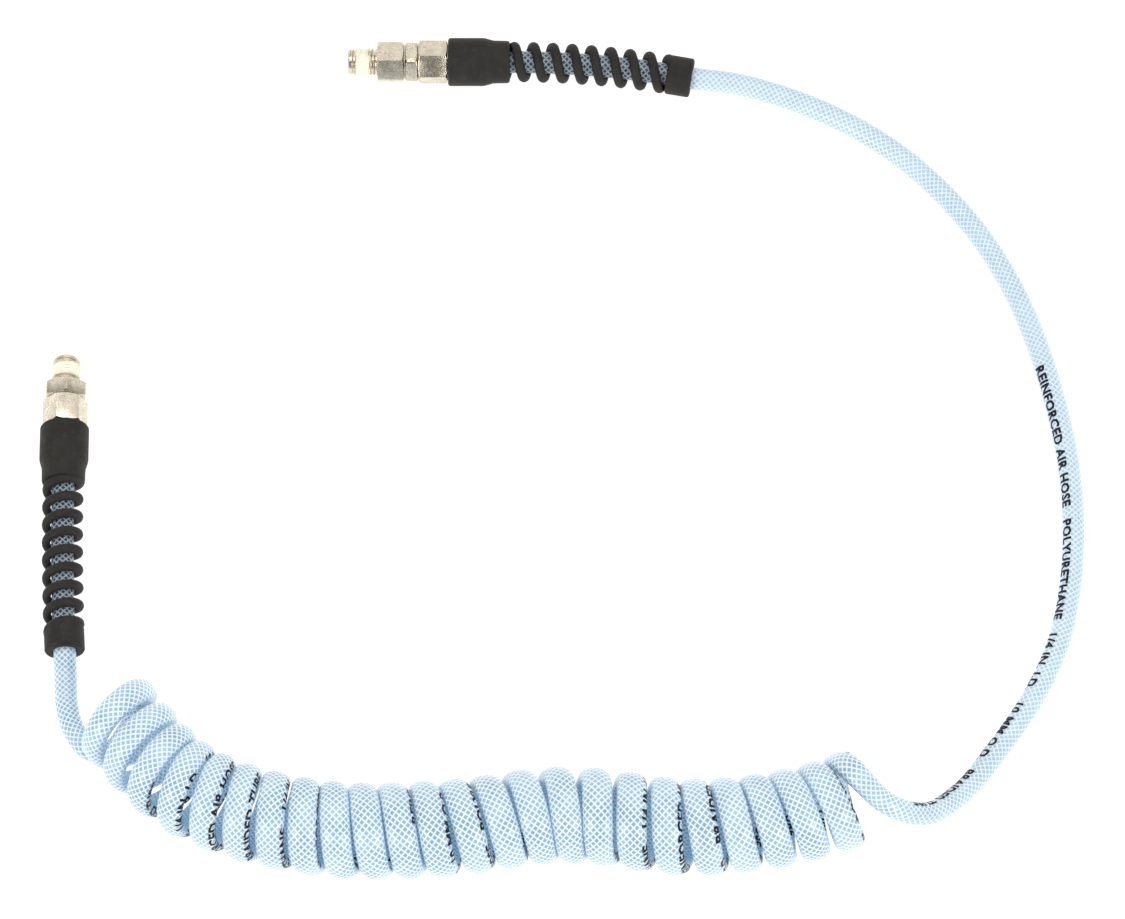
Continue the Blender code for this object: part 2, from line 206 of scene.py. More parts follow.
TURNS_PER_POINT = 4
COIL_AXIS = [
    (-0.1155, -0.1845), (-0.077, -0.227), (-0.025, -0.2455), (0.030, -0.247),
    (0.0875, -0.240), (0.1465, -0.246), (0.202, -0.236), (0.254, -0.209),
]
COIL_HEIGHT = 0.0213
COIL_LINE_RADIUS = 0.0172
COIL_PHASE = 28
COIL_LAG = 0.25
COIL_START = 25.10
COIL_END = 0.90
SHAPED_TURNS = (0.6, 25.4)
POINTS_PER_TURN = 24

LONG_LEAD = [
    (0.164, 0.1350, 0.0066), (0.190, 0.1275, HOSE_REST), (0.215, 0.115, HOSE_REST),
    (0.238, 0.0985, HOSE_REST), (0.258, 0.078, HOSE_REST), (0.275, 0.0545, HOSE_REST),
    (0.2885, 0.028, HOSE_REST), (0.2985, -0.0005, HOSE_REST), (0.3055, -0.029, HOSE_REST),
    (0.3105, -0.059, HOSE_REST), (0.312, -0.089, HOSE_REST), (0.310, -0.119, HOSE_REST),
    (0.304, -0.148, HOSE_REST), (0.292, -0.1755, HOSE_REST), (0.2765, -0.2, HOSE_REST),
    (0.2595, -0.2235, 0.0085), (0.2425, -0.2385, 0.019), (0.227, -0.2395, 0.031),
]
SHORT_LEAD = [(-0.132, -0.166, 0.0070), (-0.1315, -0.176, 0.0055), (-0.130, -0.185, HOSE_REST),
              (-0.127, -0.1925, HOSE_REST)]
UNDER_COIL = [(-0.1195, -0.2010, HOSE_REST), (-0.1105, -0.2005, HOSE_REST), (-0.1045, -0.1935, 0.0080)]

# Each fitting's frame: the origin at the tip of its pipe thread and +Z out of the thread. A station is a
# distance from that tip towards the hose.
mounts = {mount["name"]: Vector(mount["pos_m"]) for mount in record["mounts"]}
swivel_joint = frame["joints"][0]
axis_height = swivel_joint["pos_m"][2]
swivel_tip = Vector(swivel_joint["pos_m"])
fixed_tip = Vector((mounts["fixed_thread_end"].x, mounts["fixed_thread_end"].y, axis_height))
SWIVEL = Matrix.Translation(swivel_tip) @ Euler((0, math.radians(-90), 0)).to_matrix().to_4x4()
FIXED = Matrix.Translation(fixed_tip) @ Euler((math.radians(-90), 0, 0)).to_matrix().to_4x4()

# A guard holds its hose straight along its sleeve, then lets it lean the way that it goes.
SLEEVE_LENGTH = 0.0280
HELIX_LENGTH = 0.0712
COLLAR_LENGTH = 0.0113
BEND_LENGTH = HELIX_LENGTH + COLLAR_LENGTH
SWIVEL_BEND = (-0.0018, -0.0075)
FIXED_BEND = (0.0025, 0.0018)
GAP = 0.0003


def stations(node, fitting):
    """Where a CAD node starts and ends along its fitting."""
    inverse = fitting.inverted()
    heights = [-(inverse @ Vector(corner)).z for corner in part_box(node)]
    return min(heights), max(heights)


def guard_axis(distance, sleeve_end, bend):
    """The hose's centre in the fitting's frame, a distance past the sleeve's end."""
    lean = max(distance / BEND_LENGTH, 0) ** 2
    return Vector((bend[0] * lean, bend[1] * lean, -(sleeve_end + distance)))


def hose_in_guard(fitting, guard_node, hose_end_node, bend):
    """The route from the hose's end on its barb to the guard's collar."""
    sleeve_end = stations(guard_node, fitting)[0] + SLEEVE_LENGTH
    first = stations(hose_end_node, fitting)[1] + GAP - sleeve_end
    spans = 4
    return [fitting @ guard_axis(first + (BEND_LENGTH - first) * i / spans, sleeve_end, bend)
            for i in range(spans + 1)]


def smooth_curve(points, step):
    """Points about a step apart on the smooth curve through the given ones (a cubic over each span)."""
    points = [Vector(point) for point in points]
    spans = [(end - start).length for start, end in zip(points, points[1:])]
    slopes = [(end - start) / span for start, end, span in zip(points, points[1:], spans)]
    tangents = [slopes[0]]
    for i in range(1, len(points) - 1):
        share = spans[i - 1] / (spans[i - 1] + spans[i])
        tangents.append(slopes[i - 1].lerp(slopes[i], share))
    tangents.append(slopes[-1])
    smooth = []
    for i, span in enumerate(spans):
        pieces = max(1, round(span / step))
        for piece in range(pieces):
            t = piece / pieces
            smooth.append((2 * t ** 3 - 3 * t ** 2 + 1) * points[i]
                          + (t ** 3 - 2 * t ** 2 + t) * span * tangents[i]
                          + (3 * t ** 2 - 2 * t ** 3) * points[i + 1]
                          + (t ** 3 - t ** 2) * span * tangents[i + 1])
    return smooth + [points[-1]]


def coil_axis(turn):
    """A point of the coil's axis, and the way that the axis runs there."""
    def on_curve(place):
        padded = [2 * axis[0] - axis[1]] + axis + [2 * axis[-1] - axis[-2]]
        span = min(int(place), len(axis) - 2)
        before, start, end, after = padded[span:span + 4]
        t = place - span
        return 0.5 * (2 * start + (end - before) * t
                      + (2 * before - 5 * start + 4 * end - after) * t ** 2
                      + (3 * start - before - 3 * end + after) * t ** 3)
    axis = [Vector((x, y, COIL_HEIGHT)) for x, y in COIL_AXIS]
    place = (turn - COIL_LAG) / TURNS_PER_POINT
    centre = on_curve(place)
    return centre, (on_curve(place + 0.01) - centre).normalized()


def coil_point(turn):
    """The hose's centre at a turn, and the way out from the coil's axis there."""
    centre, along = coil_axis(turn)
    across = Vector((-along.y, along.x, 0))
    angle = math.radians(COIL_PHASE) + 2 * math.pi * turn
    outward = across * math.cos(angle) + Vector((0, 0, math.sin(angle)))
    return centre + outward * COIL_LINE_RADIUS, outward


turn_count = round((COIL_START - COIL_END) * POINTS_PER_TURN)
coil_turns = [COIL_START + (COIL_END - COIL_START) * i / turn_count for i in range(turn_count + 1)]
long_route = hose_in_guard(SWIVEL, "swivel_guard", "swivel_hose_end", SWIVEL_BEND) + LONG_LEAD
short_route = UNDER_COIL[::-1] + SHORT_LEAD[::-1] + hose_in_guard(
    FIXED, "fixed_guard", "fixed_hose_end", FIXED_BEND)[::-1]
hose_line = smooth_curve(long_route + [coil_point(turn)[0] for turn in coil_turns] + short_route, HOSE_STEP)


def run_lengths(line):
    """How far along the line each of its points is."""
    lengths = [0.0]
    for start, end in zip(line, line[1:]):
        lengths.append(lengths[-1] + (end - start).length)
    return lengths


def directions(line):
    """The way that the line runs at each of its points."""
    ahead = line[1:] + line[-1:]
    behind = line[:1] + line[:-1]
    return [(end - start).normalized() for start, end in zip(behind, ahead)]


hose_lengths = run_lengths(hose_line)
hose_ways = directions(hose_line)
hose_length = hose_lengths[-1]
guard_reach = run_lengths(hose_in_guard(SWIVEL, "swivel_guard", "swivel_hose_end", SWIVEL_BEND))[-1]

# The legend's place round the hose: degrees to the right of the outside of the coil, looking along the
# hose, at some of its turns, and to the right of the top in the two leads.
LEGEND_IN_LEADS = (40, 36)
LEGEND_AT_TURNS = [
    (0.5, 130), (2.6, 130), (4, 84), (5, 72), (6, 72), (7, 78), (8, 94), (9, 130), (10.2, 130), (11.2, 84),
    (12, 78), (13, 74), (14, 90), (15, 130), (17, 130), (18, 74), (19, 78), (20, 62), (21, 100), (22, 130),
    (23.2, 130), (24.4, 84), (25.5, 60),
]


def legend_at(turn):
    """The legend's angle at a turn of the coil, with smooth changes between the listed ones."""
    for (start, first), (end, second) in zip(LEGEND_AT_TURNS, LEGEND_AT_TURNS[1:]):
        if start <= turn <= end:
            share = (turn - start) / (end - start)
            return first + (second - first) * share * share * (3 - 2 * share)


def nearest_turn(point, guess):
    """The turn whose centre is nearest to a point of the coiled hose, close to a guessed turn."""
    tries = [guess + i / (2 * POINTS_PER_TURN) for i in range(-3, 4)]
    return min(tries, key=lambda turn: (coil_point(turn)[0] - point).length)


def oval_side(turn):
    """Half the oval's long side. The turns at the rigid end are narrower, since the coil bends most there."""
    narrow = min(max((NARROW_BELOW_TURN - turn) / NARROW_OVER_TURNS, 0), 1)
    return OVAL_SIDE - OVAL_NARROWING * narrow


def hose_sections():
    """For each point of the hose: the way that its oval is flat, its half sizes, and where its legend is."""
    lead_end = run_lengths(smooth_curve(long_route + [coil_point(COIL_START)[0]], HOSE_STEP))[-1]
    coil_end = hose_length - run_lengths(
        smooth_curve([coil_point(COIL_END)[0]] + short_route, HOSE_STEP))[-1]
    ovals, marks = [], []
    turn = COIL_START
    for point, way, length in zip(hose_line, hose_ways, hose_lengths):
        inside = min(length - lead_end, coil_end - length) / OVAL_FADE + 0.5
        share = min(max(inside, 0), 1)
        share = share * share * (3 - 2 * share)
        outward = Vector((0, 0, 1))
        aside = LEGEND_IN_LEADS[0] if length < hose_length / 2 else LEGEND_IN_LEADS[1]
        side = HOSE_RADIUS
        if share > 0:
            turn = min(max(nearest_turn(point, turn), SHAPED_TURNS[0]), SHAPED_TURNS[1])
            room = min((coil_point(turn + 1)[0] - point).length, (coil_point(turn - 1)[0] - point).length)
            outward = outward.lerp(coil_point(turn)[1], share)
            aside += (legend_at(turn) - aside) * share
            side += (min(oval_side(turn), room * SHARE_OF_ROOM) - side) * share
        outward = (outward - way * outward.dot(way)).normalized()
        angle = math.radians(aside)
        ovals.append((outward, OVAL_OUT * share + HOSE_RADIUS * (1 - share), side))
        marks.append(outward * math.cos(angle) + way.cross(outward) * math.sin(angle))
    return ovals, marks


hose_ovals, hose_marks = hose_sections()


def oval_ring(point, oval, mark, way, sides):
    """Points evenly spaced round the tube's oval section, starting from its mark."""
    outward, half_out, half_side = oval
    across = way.cross(outward)
    start = math.atan2(mark.dot(across), mark.dot(outward))
    fine = 4 * sides
    rim = []
    for i in range(fine + 1):
        angle = start + 2 * math.pi * i / fine
        rim.append(outward * (half_out * math.cos(angle)) + across * (half_side * math.sin(angle)))
    reached = run_lengths(rim)
    ring = []
    spot = 0
    for i in range(sides):
        wanted = reached[-1] * i / sides
        while reached[spot + 1] < wanted:
            spot += 1
        share = (wanted - reached[spot]) / (reached[spot + 1] - reached[spot])
        ring.append(point + rim[spot].lerp(rim[spot + 1], share))
    return ring


def swept_tube(name, line, rings, lengths):
    """A closed tube through rings of points, with a UV map: round it from its mark, and metres along it."""
    sides = len(rings[0])
    verts = [vert for ring in rings for vert in ring]
    faces, uvs = [], []
    for ring in range(len(line) - 1):
        for i in range(sides):
            j = (i + 1) % sides
            this, after = ring * sides, (ring + 1) * sides
            faces.append((this + i, this + j, after + j, after + i))
            near, far = i / sides, (i + 1) / sides
            low, high = lengths[ring], lengths[ring + 1]
            uvs += [(near, low), (far, low), (far, high), (near, high)]
    last = (len(line) - 1) * sides
    faces.append(tuple(range(sides))[::-1])
    faces.append(tuple(range(last, last + sides)))
    uvs += [(i / sides, lengths[0]) for i in reversed(range(sides))]
    uvs += [(i / sides, lengths[-1]) for i in range(sides)]
    mesh = bpy.data.meshes.new(name)
    mesh.from_pydata(verts, [], faces)
    layer = mesh.uv_layers.new(name="along_hose")
    for loop, uv in zip(layer.data, uvs):
        loop.uv = uv
    mesh.shade_smooth()
    piece = bpy.data.objects.new(name, mesh)
    bpy.context.scene.collection.objects.link(piece)
    return piece


hose_rings = [oval_ring(*ring, HOSE_SIDES) for ring in zip(hose_line, hose_ovals, hose_marks, hose_ways)]
hose = swept_tube("air_hose", hose_line, hose_rings, hose_lengths)


def new_paint(name):
    """A new material, its shader, and its object coordinates as a Value."""
    paint = bpy.data.materials.new(name)
    paint.use_nodes = True
    tree = paint.node_tree
    coordinates = tree.nodes.new("ShaderNodeTexCoord")
    return paint, tree.nodes["Principled BSDF"], Value(tree, coordinates.outputs["Object"])


def connect(shader, **links):
    """Links Values to the shader's sockets, named with _ for a space."""
    for name, value in links.items():
        value.tree.links.new(value.socket, shader.inputs[name.replace("_", " ").title()])


def set_constants(shader, **numbers):
    for name, number in numbers.items():
        shader.inputs[name.replace("_", " ").title().replace("Ior", "IOR")].default_value = number


STRANDS = 11
BRAID_RISE = 0.0027
STRAND_WHITE = (0.83, 0.86, 0.87, 1)
TUBE_BLUE = (0.19, 0.31, 0.41, 1)
TUBE_PALE = (0.30, 0.44, 0.54, 1)
# Painted light: in the long lead the tube and strands are drawn paler and flatter, standing in for the white table
# seen through the clear tube.
TUBE_LEAD_PAINTED_LIGHT = (0.46, 0.55, 0.60, 1)
STRAND_LEAD_PAINTED_LIGHT = (0.69, 0.75, 0.78, 1)
LEAD_REACH = 0.60
# Painted shade: the tube, the strands and the glow are drawn dark inside the guards.
TUBE_SHADED = (0.020, 0.030, 0.042, 1)
STRAND_SHADED = (0.28, 0.38, 0.46, 1)
# Painted glow: the hose's faint blue emission stands in for light passing through its clear tube, so that its
# crevices don't go dark.
PAINTED_TRANSLUCENT_GLOW = (0.28, 0.48, 0.70, 1)
GLOW_SHADED = (0.02, 0.03, 0.05, 1)


def braided_hose_paint():
    """White strands wound both ways round a pale blue tube, under a smooth clear cover. The long lead is painted
    paler, painted light where the white table shows through it, and inside the guards the hose is painted dark,
    painted shade under the black rubber."""
    paint, shader, place = new_paint("braided_hose")
    tree = paint.node_tree
    spot = Value(tree, tree.nodes.new("ShaderNodeTexCoord").outputs["UV"])
    around = spot.node("SeparateXYZ", {}, {"Vector": spot}, output=0)
    distance = spot.node("SeparateXYZ", {}, {"Vector": spot}, output=1)
    winding = around * STRANDS
    rise = distance * (1 / BRAID_RISE)
    right_hand = abs((winding + rise).fraction() - 0.5)
    left_hand = abs((winding - rise).fraction() - 0.5)
    right_strand = right_hand.smooth_step(0.21, 0.10)
    left_strand = left_hand.smooth_step(0.21, 0.10)
    strand = right_strand.larger(left_strand)
    crossing = right_strand * left_strand
    cloud = place.noise(70, 3)
    # Painted shade inside the two guards.
    swivel_shade = distance.smooth_step(guard_reach + 0.002, guard_reach - 0.004)
    far_guard = hose_length - guard_reach
    rigid_shade = distance.smooth_step(far_guard - 0.002, far_guard + 0.004)
    shade = swivel_shade.larger(rigid_shade)
    # Painted light along the long lead, fading out towards the coil.
    lead = distance.smooth_step(LEAD_REACH + 0.05, LEAD_REACH - 0.10)
    tube = (lead * 0.65).mix(cloud.smooth_step(0.35, 0.65).mix(TUBE_BLUE, TUBE_PALE), TUBE_LEAD_PAINTED_LIGHT)
    tube = (shade * 0.93).mix(tube, TUBE_SHADED)
    # Single strands are drawn a shade dimmer and crossings whiter: painted shading of the raised crossings, mixed
    # with random tone from the cloud.
    single_strand_shaded_white = tuple(channel * 0.86 for channel in STRAND_WHITE[:3]) + (1,)
    white = (crossing * 0.6 + cloud * 0.6).mix(single_strand_shaded_white, STRAND_WHITE)
    white = (shade * 0.7).mix((lead * 0.8).mix(white, STRAND_LEAD_PAINTED_LIGHT), STRAND_SHADED)
    colour = (strand * 0.94).mix(tube, white)
    thread = place.noise(2600, 2)
    height = strand + crossing * 0.5 + thread * 0.15
    # The emission is the painted glow. It is turned to near black inside the guards as painted shade.
    connect(shader, base_color=colour, emission_color=shade.mix(PAINTED_TRANSLUCENT_GLOW, GLOW_SHADED),
            normal=height.bump(0.6, 0.00018))
    set_constants(shader, roughness=0.35, coat_weight=0.7, coat_roughness=0.2, coat_ior=1.42)
    shader.inputs["Specular IOR Level"].default_value = 0.15
    shader.inputs["Emission Strength"].default_value = 0.24
    shader.inputs["Subsurface Weight"].default_value = 0.45
    shader.inputs["Subsurface Radius"].default_value = (0.5, 0.8, 1.0)
    shader.inputs["Subsurface Scale"].default_value = 0.006
    return paint


hose.data.materials.append(braided_hose_paint())
tube_blue, shader, place = new_paint("hose_end_blue")
connect(shader, base_color=place.noise(400, 3).mix(TUBE_BLUE, STRAND_WHITE),
        normal=place.noise(900, 2).bump(0.2, 0.00005))
set_constants(shader, roughness=0.3, coat_weight=0.8, coat_roughness=0.1)
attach(hose, "hose")
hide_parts("hose_long_lead", "hose_coil", "hose_short_lead")

# ---------------------------------------------------------------------------------------------------------
# Printed line. A plain legend in dark blue ink runs along the hose under its clear cover, over and over.
# It starts part of the way along the long lead and reads away from the swivel. In the last turns it faces
# into the coil, out of sight, and is left out.

LEGEND = "REINFORCED AIR HOSE   POLYURETHANE   1/4 IN. I.D.   10 MM O.D.   BRAIDED TUBE"
LETTER_SIZE = 0.0064
LETTER_HEIGHT = 0.0046
LETTER_BOLDNESS = 0.00026
LETTER_SPACING = 1.08
LEGEND_BLANK = 0.040
LEGEND_START = (0.3010, -0.0120, 0.0051)
LEGEND_OUT_OF_SIGHT = 0.42
INK_LIFT = 0.00005
CUT_ACROSS = 0.0007
CUT_ALONG = 0.0016
INK_BLUE = (0.004, 0.005, 0.014, 1)
INK_THIN = (0.012, 0.016, 0.036, 1)


def flat_legend():
    """The legend as a flat mesh, cut small enough to follow the hose, and its length."""
    bpy.ops.object.select_all(action='DESELECT')
    bpy.ops.object.text_add(location=(0, 0, 0))
    legend = bpy.context.object
    legend.data.body = LEGEND
    legend.data.size = LETTER_SIZE
    legend.data.offset = LETTER_BOLDNESS
    legend.data.space_character = LETTER_SPACING
    legend.data.resolution_u = 2
    bpy.ops.object.convert(target='MESH')
    legend = bpy.context.object
    length, height = legend.dimensions.x, legend.dimensions.y
    bpy.ops.object.mode_set(mode='EDIT')
    for place in range(1, int(height / CUT_ACROSS) + 2):
        bpy.ops.mesh.select_all(action='SELECT')
        bpy.ops.mesh.bisect(plane_co=(0, (place - 1.5) * CUT_ACROSS, 0), plane_no=(0, 1, 0))
    for place in range(1, int(length / CUT_ALONG) + 1):
        bpy.ops.mesh.select_all(action='SELECT')
        bpy.ops.mesh.bisect(plane_co=(place * CUT_ALONG, 0, 0), plane_no=(1, 0, 0))
    bpy.ops.mesh.select_all(action='SELECT')
    bpy.ops.mesh.quads_convert_to_tris()
    bpy.ops.object.mode_set(mode='OBJECT')
    return legend, length


def on_hose(distance, around):
    """A point of the hose's surface: metres along it, and turns round it from its mark."""
    low, high = 0, len(hose_lengths) - 1
    while high - low > 1:
        middle = (low + high) // 2
        if hose_lengths[middle] <= distance:
            low = middle
        else:
            high = middle
    share = (distance - hose_lengths[low]) / (hose_lengths[low + 1] - hose_lengths[low])
    spot = (around % 1) * HOSE_SIDES
    near = int(spot) % HOSE_SIDES
    far = (near + 1) % HOSE_SIDES
    first = hose_rings[low][near].lerp(hose_rings[low][far], spot - int(spot))
    second = hose_rings[low + 1][near].lerp(hose_rings[low + 1][far], spot - int(spot))
    centre = hose_line[low].lerp(hose_line[low + 1], share)
    surface = first.lerp(second, share)
    return surface + (surface - centre).normalized() * INK_LIFT


def ink_paint():
    """Dark blue ink, a little thin in places."""
    paint, shader, place = new_paint("hose_ink")
    cloud = place.noise(900, 3)
    connect(shader, base_color=cloud.smooth_step(0.45, 0.75).mix(INK_BLUE, INK_THIN))
    set_constants(shader, roughness=0.5, coat_weight=0.2, coat_roughness=0.2)
    shader.inputs["Specular IOR Level"].default_value = 0.15
    return paint


legend, legend_length = flat_legend()
first_letter = min(range(len(hose_line)), key=lambda i: (hose_line[i] - Vector(LEGEND_START)).length)
legend_starts = []
distance = hose_lengths[first_letter]
while distance + legend_length < hose_length - LEGEND_OUT_OF_SIGHT:
    legend_starts.append(distance)
    distance += legend_length + LEGEND_BLANK
girth = 2 * math.pi * HOSE_RADIUS
ink = ink_paint()
for group, starts in enumerate((legend_starts[:1], legend_starts[1:6], legend_starts[6:])):
    verts, faces = [], []
    for start in starts:
        faces += [tuple(vert + len(verts) for vert in face.vertices) for face in legend.data.polygons]
        for vert in legend.data.vertices:
            around = (LETTER_HEIGHT / 2 - vert.co.y) / girth
            verts.append(on_hose(start + vert.co.x, around))
    mesh = bpy.data.meshes.new("hose_print")
    mesh.from_pydata(verts, [], faces)
    mesh.materials.append(ink)
    hose_print = bpy.data.objects.new(f"hose_print_{group + 1}", mesh)
    bpy.context.scene.collection.objects.link(hose_print)
    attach(hose_print, "hose")
bpy.data.objects.remove(legend)

# ---------------------------------------------------------------------------------------------------------
# Swivel stem. Nickel-plated brass, turned and then threaded with a 1/4 in taper pipe thread, with a hexagon
# for the spanner. It turns in the swivel body, and a band of dry cream sealant is baked on to its thread.

THREAD_LENGTH = 0.0132
THREAD_TIP = 0.0061
THREAD_BASE = 0.0065
THREAD_PITCH = 0.001411
THREAD_DEPTH = 0.0009
THREAD_STEPS = 32
BORE = 0.0031
HEX_FLATS = 0.01746
HEX_OVER_CORNER = 0.0002
STEM_HEX_END = 0.0252
STEM_HEX_TURN = 4
CORE = 0.0074
CORE_HEX_HOLE = 0.0070
SPIGOT = 0.0056
SPIGOT_END = 0.0395
SEALANT_START = 0.0034
SEALANT_END = 0.0098
SEALANT_DEPTH = 0.00045
SEALANT_LIFT = 0.00022
LATHE_SIDES = 64
EDGE_ROUND = 0.00018
SMOOTH_ANGLE = 18
NICKEL_DULL = (0.74, 0.665, 0.535, 1)
NICKEL_BRIGHT = (0.87, 0.79, 0.65, 1)
NICKEL_STAIN = (0.22, 0.20, 0.155, 1)
SEALANT_CREAM = (0.96, 0.95, 0.82, 1)
SEALANT_SMEAR = (0.87, 0.85, 0.68, 1)
taper = (THREAD_BASE - THREAD_TIP) / THREAD_LENGTH


def turned(name, outline, sides=LATHE_SIDES):
    """A lathe-turned piece: a circle drawn out and resized from corner to corner of its closed outline."""
    bpy.ops.object.select_all(action='DESELECT')
    station, radius = outline[0]
    bpy.ops.mesh.primitive_circle_add(vertices=sides, radius=radius, location=(0, 0, 0))
    piece = bpy.context.object
    piece.name = name
    bpy.ops.object.mode_set(mode='EDIT')
    bpy.ops.mesh.select_all(action='SELECT')
    bpy.ops.transform.translate(value=(0, 0, -station))
    for next_station, next_radius in outline[1:] + outline[:1]:
        bpy.ops.mesh.extrude_region_move(TRANSFORM_OT_translate={"value": (0, 0, station - next_station)})
        growth = next_radius / radius
        bpy.ops.transform.resize(value=(growth, growth, 1), center_override=(0, 0, -next_station))
        station, radius = next_station, next_radius
    bpy.ops.mesh.select_all(action='SELECT')
    bpy.ops.mesh.remove_doubles(threshold=0.000002)
    bpy.ops.mesh.normals_make_consistent(inside=False)
    bpy.ops.object.mode_set(mode='OBJECT')
    return piece


def select_only(*pieces):
    """Selects these pieces and makes the first the active one."""
    bpy.ops.object.select_all(action='DESELECT')
    for piece in pieces:
        piece.select_set(True)
    bpy.context.view_layer.objects.active = pieces[0]


def rounded(piece, width, angle=28):
    """Breaks the piece's sharp edges."""
    bevel = piece.modifiers.new("round", 'BEVEL')
    bevel.width = width
    bevel.segments = 2
    bevel.limit_method = 'ANGLE'
    bevel.angle_limit = math.radians(angle)
    select_only(piece)
    bpy.ops.object.modifier_apply(modifier=bevel.name)


def hexagon(name, start, end, hole, turn):
    """A spanner hexagon with chamfered corners: the shape that a prism shares with a turned barrel."""
    corner = HEX_FLATS / 2 / math.cos(math.radians(30))
    face = HEX_FLATS / 2 - 0.0002
    chamfer = (corner - face) * 0.55
    widest = corner + HEX_OVER_CORNER
    barrel = turned(name + "_barrel", [
        (start, face), (start + chamfer, widest), (end - chamfer, widest), (end, face),
        (end, hole), (start, hole)], sides=96)
    bpy.ops.object.select_all(action='DESELECT')
    bpy.ops.mesh.primitive_cylinder_add(
        vertices=6, radius=corner, depth=end - start + 0.002,
        location=(0, 0, -(start + end) / 2), rotation=(0, 0, math.radians(turn)))
    prism = bpy.context.object
    prism.name = name
    bpy.ops.object.transform_apply(location=True, rotation=True, scale=True)
    common = prism.modifiers.new("common", 'BOOLEAN')
    common.operation = 'INTERSECT'
    common.solver = 'EXACT'
    common.object = barrel
    bpy.ops.object.modifier_apply(modifier=common.name)
    bpy.data.objects.remove(barrel)
    return prism


def thread_ridge(name, start, end, lift):
    """One long sharp ridge wound round the taper, with both of its ends closed."""
    ridge = 0.00075
    bpy.ops.object.select_all(action='DESELECT')
    bpy.ops.mesh.primitive_circle_add(vertices=3, radius=ridge, location=(THREAD_TIP + lift - ridge, 0, 0),
                                      rotation=(math.radians(90), math.radians(90), 0))
    piece = bpy.context.object
    piece.name = name
    bpy.ops.object.transform_apply(location=True, rotation=True, scale=True)
    winding = piece.modifiers.new("winding", 'SCREW')
    winding.steps = winding.render_steps = THREAD_STEPS
    winding.screw_offset = -THREAD_PITCH
    winding.iterations = int((end - start) / THREAD_PITCH - 0.6)
    winding.use_merge_vertices = False
    bpy.ops.object.modifier_apply(modifier=winding.name)
    heights = [vert.co.z for vert in piece.data.vertices]
    first = start + ((end - start) - (max(heights) - min(heights))) / 2
    drop = max(heights) + first
    for vert in piece.data.vertices:
        vert.co.z -= drop
        out = Vector((vert.co.x, vert.co.y, 0))
        vert.co += out.normalized() * (taper * -vert.co.z)
    bpy.ops.object.mode_set(mode='EDIT')
    bpy.ops.mesh.select_all(action='SELECT')
    bpy.ops.mesh.fill_holes(sides=3)
    bpy.ops.mesh.normals_make_consistent(inside=False)
    bpy.ops.object.mode_set(mode='OBJECT')
    return piece


def fitted(name, pieces, fitting, paint, body, slot, *nodes):
    """Joins the pieces, puts them in their fitting's place, paints them, hangs them on their body and hides the
    modelled parts that they stand for.
    """
    select_only(*pieces)
    bpy.ops.object.join()
    piece = bpy.context.object
    piece.name = name
    piece.matrix_world = fitting
    bpy.ops.object.transform_apply(location=True, rotation=True, scale=True)
    bpy.ops.object.shade_smooth_by_angle(angle=math.radians(SMOOTH_ANGLE))
    piece.data.materials.clear()
    piece.data.materials.append(paint)
    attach(piece, body)
    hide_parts(*nodes)
    return piece


def nickel_paint(name, along):
    """Dull nickel plate: fine lathe marks round the fitting's axis, small stains and worn bright patches."""
    paint, shader, place = new_paint(name)
    marks = place.noise(1, 4, stretch=tuple(9000 if i == along else 150 for i in range(3)))
    cloud = place.noise(240, 4)
    speckle = place.noise(1900, 3).smooth_step(0.46, 0.66)
    stain = place.noise(700, 3).smooth_step(0.60, 0.72)
    plate = cloud.smooth_step(0.35, 0.70).mix(NICKEL_DULL, NICKEL_BRIGHT)
    pitted = (speckle * 0.5 + stain * 0.35).mix(plate, NICKEL_STAIN)
    connect(shader, base_color=pitted, roughness=speckle * 0.15 + cloud * 0.06 + 0.22,
            normal=(marks * 0.6 - speckle).bump(0.40, 0.00004))
    set_constants(shader, metallic=1.0)
    return paint


def sealant_paint():
    """Dry cream sealant: chalky, with smears and small pits."""
    paint, shader, place = new_paint("dry_sealant")
    cloud = place.noise(500, 4)
    pits = place.noise(2200, 2).smooth_step(0.60, 0.72)
    smeared = cloud.smooth_step(0.3, 0.7) * 0.8 + pits * 0.2
    connect(shader, base_color=smeared.mix(SEALANT_CREAM, SEALANT_SMEAR),
            normal=(cloud - pits * 0.6).bump(0.5, 0.00008))
    set_constants(shader, roughness=0.62)
    return paint


def threaded_end(end, hex_end, inside):
    """The outline of a pipe thread's core from its tip to the hexagon's far face, and its bore back again."""
    root = THREAD_TIP - THREAD_DEPTH
    neck = THREAD_BASE - 0.0006
    return [(0, root - 0.0002), (0.0004, root + 0.0002), (0.0010, root + 0.0002),
            (THREAD_LENGTH - 0.0009, THREAD_BASE - THREAD_DEPTH + 0.0001), (THREAD_LENGTH - 0.0004, neck),
            (THREAD_LENGTH + 0.0002, neck), (THREAD_LENGTH + 0.0002, CORE),
            (hex_end - 0.0001, CORE)] + end + inside


def sealant_band(name, fitting, body, node):
    """The sealant fills the threads it covers, and its ends slope down to the thread where it was brushed on."""
    near = THREAD_TIP - SEALANT_DEPTH + taper * SEALANT_START
    far = THREAD_TIP - SEALANT_DEPTH + taper * SEALANT_END
    band = turned(name, [(SEALANT_START, near - 0.0004), (SEALANT_START + 0.0003, near),
                         (SEALANT_END - 0.0003, far), (SEALANT_END, far - 0.0004)])
    ridge = thread_ridge(name + "_ridge", SEALANT_START - 0.0001, SEALANT_END + 0.0001, SEALANT_LIFT)
    rounded(ridge, 0.0002, 50)
    return fitted(name, [band, ridge], fitting, sealant_white, body, "sealant", node)


nickel_along_x = nickel_paint("swivel_nickel", 0)
nickel_along_y = nickel_paint("rigid_end_nickel", 1)
sealant_white = sealant_paint()

